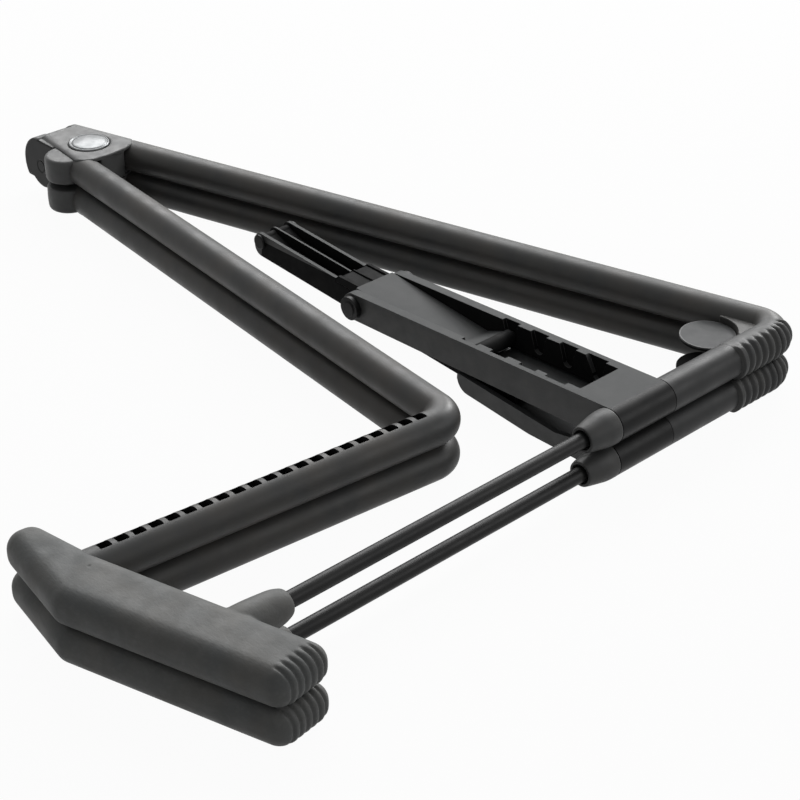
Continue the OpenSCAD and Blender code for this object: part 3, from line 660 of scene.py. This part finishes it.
def groove_bar(bm):
    """Slants the bar's lower end, presses its grip grooves and sets the gate mark in its face."""
    grooves = [GROOVE_PITCH * i + GROOVE_FIRST for i in range(GROOVE_COUNT)]
    normals = [vert.normal.copy() for vert in bm.verts]
    for vert, normal in zip(bm.verts, normals):
        local = vert.co - BAR_FOOT
        beyond = -local.dot(ray(REAR_DIR))
        across = local.dot(BAR_SIDE)
        weight = smoothstep(-GROOVE_BLEND, GROOVE_BLEND, beyond)
        if weight > 0 and across < BAR_REACH:
            dips = sum(math.exp(-((across - groove) / GROOVE_WIDTH) ** 2) for groove in grooves)
            vert.co -= normal * GROOVE_DEPTH * weight * dips
        if abs(across) < BAR_REACH:
            slant = smoothstep(SLANT_FROM, SLANT_TO, beyond) * SLANT * (BAR_HALF - across)
            vert.co += ray(REAR_DIR) * slant
        near = (vert.co - GATE_AT).length
        if near < GATE_R:
            vert.co -= normal * GATE_DEPTH * (1 - smoothstep(0, GATE_R, near))


def foot_bars():
    bar = reskinned(bar_shape(), BAR_VOXEL, BAR_PASSES)
    groove_bar(bar)
    for half, flip in HALVES:
        piece = make_object(half + "_foot_bar_look", bar.copy(), BAR_RUBBER, flip, 180)
        stands_for(piece, half + "_foot_bar")


# Rubber boots. Lengths run along the tube's axis from the end of the boot on the leg
BOOT_LEG = 30
BOOT_FOOT = 39.7
BOOT_STEP = 0.22
BOOT_END = 33.9
BOOT_R = 8.04
BOOT_LOW = 0.2
BOOT_HIGH = 17.2
RIB_HEIGHT = 1.6
# Grooves between two ribs as (length, half width)
WIDE_GROOVES = [(0.2 + 4.55 * i, 1.05) for i in range(1, 6)]
NARROW_GROOVES = [(at, 0.55) for at in (26.8, 29.3, 31.8, 34.3)]
GROOVE_SHARE = 0.85


def boot_rise(length):
    """Height of the boot's ribs over the tube, at a length along its axis."""
    groove = sum(math.exp(-((length - at) / width) ** 2) for at, width in WIDE_GROOVES + NARROW_GROOVES)
    ends = smoothstep(-0.1, 1.2, length) * (1 - smoothstep(BOOT_END - 0.9, BOOT_END, length))
    return RIB_HEIGHT * ends * (1 - GROOVE_SHARE * min(1, groove))


def boot_stations():
    """Stations of the boot as (point, heading, length)."""
    stations = []
    length = 0.0
    path = bent_path(REAR_CORNER, REAR_DIR, FOOT_DIR, REAR_BEND, BOOT_LEG, BOOT_FOOT, BOOT_STEP)
    previous = path[0][0]
    for point, heading in path:
        length += (point - previous).length
        previous = point
        if length > BOOT_END + 1:
            break
        stations.append((point, heading, length))
    return stations


def boots():
    """Sleeve over the foot tube that follows the bend, with ribs on its outer side, cut level."""
    segments = 88
    rings = []
    for point, heading, length in boot_stations():
        side = heading.cross(UP)
        ring = []
        for i in range(segments):
            turn = 2 * math.pi * i / segments
            radius = BOOT_R + boot_rise(length) * smoothstep(0.08, 0.62, math.cos(turn))
            spot = point + radius * (math.cos(turn) * side + math.sin(turn) * UP)
            spot.z = min(max(spot.z, BOOT_LOW), BOOT_HIGH)
            ring.append(spot)
        rings.append(ring)
    for half, flip in HALVES:
        piece = make_object(half + "_rear_boot_look", ring_mesh(bmesh.new(), rings), BOOT_RUBBER, flip, 60)
        stands_for(piece, half + "_rear_boot")


# Rod cones beside the arm barrel, as (distance from the barrel, radius)
CONE_AT = Vector((-117.5, 0, HALF_H))
CONE_PROFILE = [(0, 3.45), (0, 8.05), (5, 8.05), (14.6, 6.2), (16.6, 5.7), (16.6, 4.5), (13, 4.3),
                (13, 3.45)]
CONE_ROUNDS = [0.5, 2.5, 1.5, 0.5, 0.3, 0.3]
CONE_RIM = 0.45
CONE_RIM_R = 7.4


def nose_cones():
    """Cones round the rods. The rim at the barrel carries a painted highlight in the lighter casting
    colour.
    """
    for half, flip in HALVES:
        bm = lathe(bmesh.new(), rounded(CONE_PROFILE, CONE_ROUNDS), CONE_AT, -X_AXIS)
        # The rim's faces at the barrel take the lighter casting colour as a painted highlight
        for face in bm.faces:
            middle = face.calc_center_median() - CONE_AT
            if middle.x > -CONE_RIM and math.hypot(middle.y, middle.z) > CONE_RIM_R:
                face.material_index = 1
        piece = make_object(half + "_nose_cone_look", bm, BOOT_RUBBER, flip, 50)
        piece.data.materials.append(CASTING_AND_PAINTED_LIGHT)
        stands_for(piece, half + "_nose_cone")


# Corner plates, in heights over the fold. Profiles are (height, radius)
DISC_AT = Vector((-28.6, 20.3, 0))
DISC_TOP = 9.1
DISC_FACE = 0.8
PLATE_DROP = 1.8
WEB_TOP = 12.0
WEB_EDGE_R = 13.3
WEB_CORNERS = [(-20, 4), (-14, 3), (-4, 8), (-9, 25)]
PLATE_PROFILE = [(0, 0.05), (0, 12.9), (1.1, 12.9), (1.1, 0.05)]
DISC_PROFILE = [(0, 0.05), (0, 12.8), (DISC_FACE, 12.8), (DISC_FACE, 12.1), (DISC_FACE, 0.05)]
DISC_RIM_R = 12.2


def corner_plates():
    """Black plate, deepened with painted shade, under a flat grey disc whose rim carries a painted
    highlight, and a web that runs into both tubes.
    """
    recess = [DISC_AT + WEB_EDGE_R * ray(angle) for angle in range(-62, 19, 4)]
    outline = [(spot.x, spot.y) for spot in reversed(recess)] + WEB_CORNERS
    for half, flip in HALVES:
        bm = reskinned(prism(bmesh.new(), outline, DISC_TOP - PLATE_DROP, WEB_TOP), 0.4, 7)
        paint_from(bm, 0, 1)
        web_faces = len(bm.faces)
        # The plate under the disc is black plastic, deepened with painted shade
        lathe(bm, rounded(PLATE_PROFILE, [0.4, 0.1]), DISC_AT + (DISC_TOP - PLATE_DROP) * UP, UP, 96)
        paint_from(bm, web_faces, 2)
        plate_faces = len(bm.faces)
        lathe(bm, rounded(DISC_PROFILE, [0.1, 0.45, 0.1]), DISC_AT + (DISC_TOP - DISC_FACE) * UP, UP, 96)
        bm.faces.ensure_lookup_table()
        # The disc's rim takes the lighter casting colour as a painted highlight
        for face in bm.faces[plate_faces:]:
            out = face.calc_center_median() - DISC_AT
            if math.hypot(out.x, out.y) > DISC_RIM_R:
                face.material_index = 3
        piece = make_object(half + "_corner_plate_look", bm, DISC, flip, 50)
        for material in (COATING, PAINTED_SHADE, CASTING_AND_PAINTED_LIGHT):
            piece.data.materials.append(material)
        stands_for(piece, half + "_corner_plate")


# Head. The corners of its cover plate are seen from the hinge
BADGE_AT = HINGE + Vector((0.5, -23.5, 0))
BADGE_HOLE_R = 11.3
PLATE_LOW = 14.6
PLATE_TOP = 16.7
PLATE_EDGE = ((-12.6, 1.0), (11.5, 1.5), (19.5, -36), (17, -39.5), (10, -42), (0.4, -43.2), (-10.5, -42.4),
              (-14.5, -40), (-17.2, -36))
# The head's far side is rolled to this radius round the rear tube
ROLL_R = 8.25
# The plate's near edge is rolled over this width, down to this height
NEAR_EDGE = HINGE + Vector((-12.9, 0, 0))
NEAR_ALONG = Vector((-4.5, -37, 0)).normalized()
NEAR_IN = Vector((-NEAR_ALONG.y, NEAR_ALONG.x, 0))
NEAR_WIDTH = 4.5
NEAR_LOW = 15.1
HEAD_VOXEL = 0.4
# The knuckles' faces, which take painted shade, are under this height, left of this x and above this y,
# seen from the hinge
KNUCKLE_TOP = 15
KNUCKLE_X = -8
KNUCKLE_Y = -12


def edge_reach(direction):
    """Distance from the badge's middle to the plate's edge, in one direction of the plan."""
    best = 40
    corners = [HINGE + Vector((x, y, 0)) - BADGE_AT for x, y in PLATE_EDGE]
    for a, b in zip(corners, corners[1:] + corners[:1]):
        along = b - a
        cross = direction.x * along.y - direction.y * along.x
        if abs(cross) < 1e-9:
            continue
        reach = (a.x * along.y - a.y * along.x) / cross
        share = (a.x * direction.y - a.y * direction.x) / cross
        if reach > 0 and 0 <= share <= 1:
            best = min(best, reach)
    return best


def plate_ring(bm):
    """Cover of the head with an open middle for the badge."""
    count = 96
    loops = []
    for i in range(count):
        direction = ray(360 * i / count)
        outer = BADGE_AT + edge_reach(direction) * direction
        inner = BADGE_AT + BADGE_HOLE_R * direction
        corners = ((inner, PLATE_LOW), (outer, PLATE_LOW), (outer, PLATE_TOP), (inner, PLATE_TOP))
        loops.append([bm.verts.new(spot + z * UP) for spot, z in corners])
    for near, far in zip(loops, loops[1:] + loops[:1]):
        for i in range(4):
            j = (i + 1) % 4
            bm.faces.new((near[i], far[i], far[j], near[j]))


def shape_head(bm):
    """Rolls the far side round the rear tube and the near edge down to the drum."""
    far_side = ray(REAR_DIR - 90)
    for vert in bm.verts:
        out = vert.co.dot(far_side)
        level = vert.co.z - HALF_H
        reach = math.hypot(out, level)
        if out > 0 and reach > ROLL_R:
            vert.co += far_side * (out * ROLL_R / reach - out)
            vert.co.z = HALF_H + level * ROLL_R / reach
        inside = (vert.co - NEAR_EDGE).dot(NEAR_IN)
        beside_hinge = (vert.co - NEAR_EDGE).dot(NEAR_ALONG) < -1
        if vert.co.z > NEAR_LOW and inside < NEAR_WIDTH and not beside_hinge:
            roll = 1 - max(0, inside) / NEAR_WIDTH
            vert.co.z = min(vert.co.z, NEAR_LOW + (vert.co.z - NEAR_LOW) * math.sqrt(1 - roll * roll))


def heads():
    """Head castings, with the hinge knuckles darker, in painted shade."""
    for half, flip in HALVES:
        bm = drawn(half + "_head_block", flip)
        plate_ring(bm)
        bm = reskinned(bm, HEAD_VOXEL, 2)
        shape_head(bm)
        bm = reskinned(bm, HEAD_VOXEL, 5)
        for face in bm.faces:
            middle = face.calc_center_median() - HINGE
            if middle.z < KNUCKLE_TOP and middle.x < KNUCKLE_X and middle.y > KNUCKLE_Y:
                face.material_index = 1
        piece = make_object(half + "_head_look", bm, CASTING_AND_PAINTED_LIGHT, flip, 180)
        piece.data.materials.append(BARREL_SHADE)
        stands_for(piece, half + "_head_block")


# Drums. The profile is (height over the fold, radius)
DRUM_AT = HINGE + Vector((-15, -24, 0))
DRUM_PROFILE = [(1.75, 0.05), (1.75, 11.2), (8.4, 11.6), (15.05, 11.2), (15.05, 0.05)]
DRUM_ROUNDS = [1.7, 4, 2.2]


def drums():
    for half, flip in HALVES:
        bm = lathe(bmesh.new(), rounded(DRUM_PROFILE, DRUM_ROUNDS), DRUM_AT, UP, 96)
        piece = make_object(half + "_leg_drum_look", bm, CASTING_AND_PAINTED_LIGHT, flip, 60)
        stands_for(piece, half + "_leg_drum")


# Badges. The rim's profile is (height over the badge's underside, radius)
BADGE_LOW = 15.7
RIM_PROFILE = [(0, 0.05), (0, 10.8), (1.1, 10.8), (1.55, 10.4), (1.55, 10.0), (1.25, 9.7), (1.25, 9.4)]
DOME_R = 9.2
DOME_LOW = 1.5
DOME_RISE = 0.9


def badges():
    """Bare domed badge with a rolled rim."""
    rings = (DOME_R, 8, 6.4, 4.8, 3.2, 1.6, 0.05)
    dome = [(DOME_LOW + DOME_RISE * (1 - (r / DOME_R) ** 2), r) for r in rings]
    for half, flip in HALVES:
        bm = lathe(bmesh.new(), rounded(RIM_PROFILE, [0.2] * 5) + dome, BADGE_AT + BADGE_LOW * UP, UP, 96)
        piece = make_object(half + "_badge_look", bm, BADGE, flip, 50)
        stands_for(piece, half + "_badge")


# Arms and strut. Heights are over the fold, and distances run from the foot tubes to the head
WALL_REACH = 45
# The strut gets painted shade round its tail and at its fingers, and the arms get it on their barrels, up
# to BARREL_TO
TAIL_R = 5
FINGERS_FROM = 162.6
FINGERS_TOP = 12
BARREL_TO = 0.3
# The lower arm gets painted shade round the elbow
ELBOW_FROM = 150
ELBOW_TO = 182
SKIRT_AT = Vector((-84.5, 94.8, -6.5))
SKIRT_SIZE = (1.4, 9, 9)


def shade_inside(piece):
    """Paints shade on the parts of an arm or of the strut that lie in deep shade and on the arms' barrels,
    and paints light on the arms' other side faces.
    """
    pin = frame["nodes"]["lock_pin"].data.vertices
    tail = sum((v.co for v in pin), Vector()) / len(pin)
    mesh = piece.data
    for material in (PAINTED_SHADE, BARREL_SHADE, CASTING_AND_PAINTED_LIGHT):
        mesh.materials.append(material)
    tree = BVHTree.FromPolygons([v.co for v in mesh.vertices], [p.vertices[:] for p in mesh.polygons])
    for polygon in mesh.polygons:
        place = (polygon.center - SEAT) / MM
        start = polygon.center + polygon.normal * 0.2 * MM
        from_tail = (polygon.center - tail) / MM
        # A side face gets painted shade where it looks at another wall of its own piece
        if abs(polygon.normal.z) < 0.5 and tree.ray_cast(start, polygon.normal, WALL_REACH * MM)[0]:
            polygon.material_index = 1
        # The strut's tail and its fingers take painted shade
        elif piece.name.startswith("locking_strut"):
            on_fingers = place.y > FINGERS_FROM and place.z < FINGERS_TOP
            if math.hypot(from_tail.y, from_tail.z) < TAIL_R or on_fingers:
                polygon.material_index = 1
        # The arms' barrels take painted shade
        elif place.y < BARREL_TO:
            polygon.material_index = 2
        # The lower arm's elbow takes painted shade
        elif piece.name.startswith("lower_arm") and ELBOW_FROM < place.y < ELBOW_TO:
            polygon.material_index = 1
        # The arms' other side faces take the lighter casting colour as painted light
        elif abs(polygon.normal.x) > 0.7:
            polygon.material_index = 3


def add_skirt(piece):
    """Short skirt under the upper arm's far wall, over the end of the lower arm's wide part."""
    bm = bmesh.new()
    bm.from_mesh(piece.data)
    made = bmesh.ops.create_cube(bm, size=MM)["verts"]
    bmesh.ops.scale(bm, vec=SKIRT_SIZE, verts=made)
    bmesh.ops.translate(bm, vec=SEAT + SKIRT_AT * MM, verts=made)
    bm.to_mesh(piece.data)
    bm.free()


def arms():
    upper_arm = softened("upper_arm", MOULDED, 0.3)
    add_skirt(upper_arm)
    lower_arm = softened("lower_arm", MOULDED, 0.25)
    strut = softened("locking_strut", MOULDED, 0.25)
    for piece in (upper_arm, lower_arm, strut):
        shade_inside(piece)
    for pin in ("elbow_pin", "strut_pin", "lock_pin"):
        softened(pin, STEEL, 0.5)


# The CAD nodes that show as they are, with the hinge pin in painted shade
PAINTED = (("upper_tie_rod", STEEL), ("lower_tie_rod", STEEL), ("upper_axle_bush", STEEL),
           ("lower_axle_bush", STEEL), ("upper_head_screw", SCREW), ("lower_head_screw", SCREW),
           ("hinge_pin", BARREL_SHADE))


def paint_nodes():
    for node, material in PAINTED:
        shape = frame["nodes"][node].data
        shape.materials.clear()
        shape.materials.append(material)


# Floor, backdrop and light
FLOOR_SIZE = 20
# The floor's share of plain white, which leaves the rest of it to the object's shadow
FLOOR_WHITE = 0.96
FLOOR_GREY = 0.4
WORLD_LIGHT = 0.22
# Lamps as (name, place, size, power), in metres and watts
LAMPS = (("back_top", (0.75, 0.95, 1.05), 1.2, 26),
         ("right_low", (1.45, 0.35, 0.75), 0.5, 18),
         ("front_right", (0.9, -1.2, 0.75), 0.8, 5))


def white_to_camera(tree, lit, share_of_white):
    """Mixes plain white over a lit shader or background for camera, mirror and glass rays."""
    path = tree.nodes.new("ShaderNodeLightPath")
    first = tree.nodes.new("ShaderNodeMath")
    first.operation = "MAXIMUM"
    tree.links.new(path.outputs["Is Camera Ray"], first.inputs[0])
    tree.links.new(path.outputs["Is Glossy Ray"], first.inputs[1])
    second = tree.nodes.new("ShaderNodeMath")
    second.operation = "MAXIMUM"
    tree.links.new(first.outputs[0], second.inputs[0])
    tree.links.new(path.outputs["Is Transmission Ray"], second.inputs[1])
    share = tree.nodes.new("ShaderNodeMath")
    share.operation = "MULTIPLY"
    share.inputs[1].default_value = share_of_white
    tree.links.new(second.outputs[0], share.inputs[0])
    mix = tree.nodes.new("ShaderNodeMixShader")
    tree.links.new(share.outputs[0], mix.inputs["Fac"])
    tree.links.new(lit, mix.inputs[1])
    return mix


def make_floor():
    bm = bmesh.new()
    bmesh.ops.create_grid(bm, x_segments=2, y_segments=2, size=FLOOR_SIZE)
    material = bpy.data.materials.new("floor")
    floor = linked("floor", bm, material)
    material.use_nodes = True
    tree = material.node_tree
    lit = tree.nodes["Principled BSDF"]
    lit.inputs["Base Color"].default_value = (FLOOR_GREY, FLOOR_GREY, FLOOR_GREY, 1)
    lit.inputs["Roughness"].default_value = 0.9
    lit.inputs["Specular IOR Level"].default_value = 0.1
    white = tree.nodes.new("ShaderNodeEmission")
    white.inputs["Strength"].default_value = 1
    mix = white_to_camera(tree, lit.outputs["BSDF"], FLOOR_WHITE)
    tree.links.new(white.outputs["Emission"], mix.inputs[2])
    tree.links.new(mix.outputs["Shader"], tree.nodes["Material Output"].inputs["Surface"])


def make_world():
    world = bpy.data.worlds.new("studio")
    bpy.context.scene.world = world
    world.use_nodes = True
    tree = world.node_tree
    dim = tree.nodes["Background"]
    dim.inputs["Color"].default_value = (1, 1, 1, 1)
    dim.inputs["Strength"].default_value = WORLD_LIGHT
    white = tree.nodes.new("ShaderNodeBackground")
    white.inputs["Color"].default_value = (1, 1, 1, 1)
    white.inputs["Strength"].default_value = 1
    mix = white_to_camera(tree, dim.outputs["Background"], 1)
    tree.links.new(white.outputs["Background"], mix.inputs[2])
    tree.links.new(mix.outputs["Shader"], tree.nodes["World Output"].inputs["Surface"])


def area_light(name, place, size, power):
    """Round lamp that aims at the origin, under the middle of the stand."""
    data = bpy.data.lights.new(name, "AREA")
    data.shape = "DISK"
    data.size = size
    data.energy = power
    lamp = bpy.data.objects.new(name, data)
    lamp.location = place
    lamp.rotation_euler = (-Vector(place)).to_track_quat("-Z", "Y").to_euler()
    bpy.context.scene.collection.objects.link(lamp)


# The stand
rear_legs()
front_legs()
foot_bars()
boots()
nose_cones()
corner_plates()
heads()
drums()
badges()
arms()
paint_nodes()

# The studio
make_floor()
make_world()
for lamp_row in LAMPS:
    area_light(*lamp_row)
bpy.context.scene.view_settings.view_transform = "Standard"
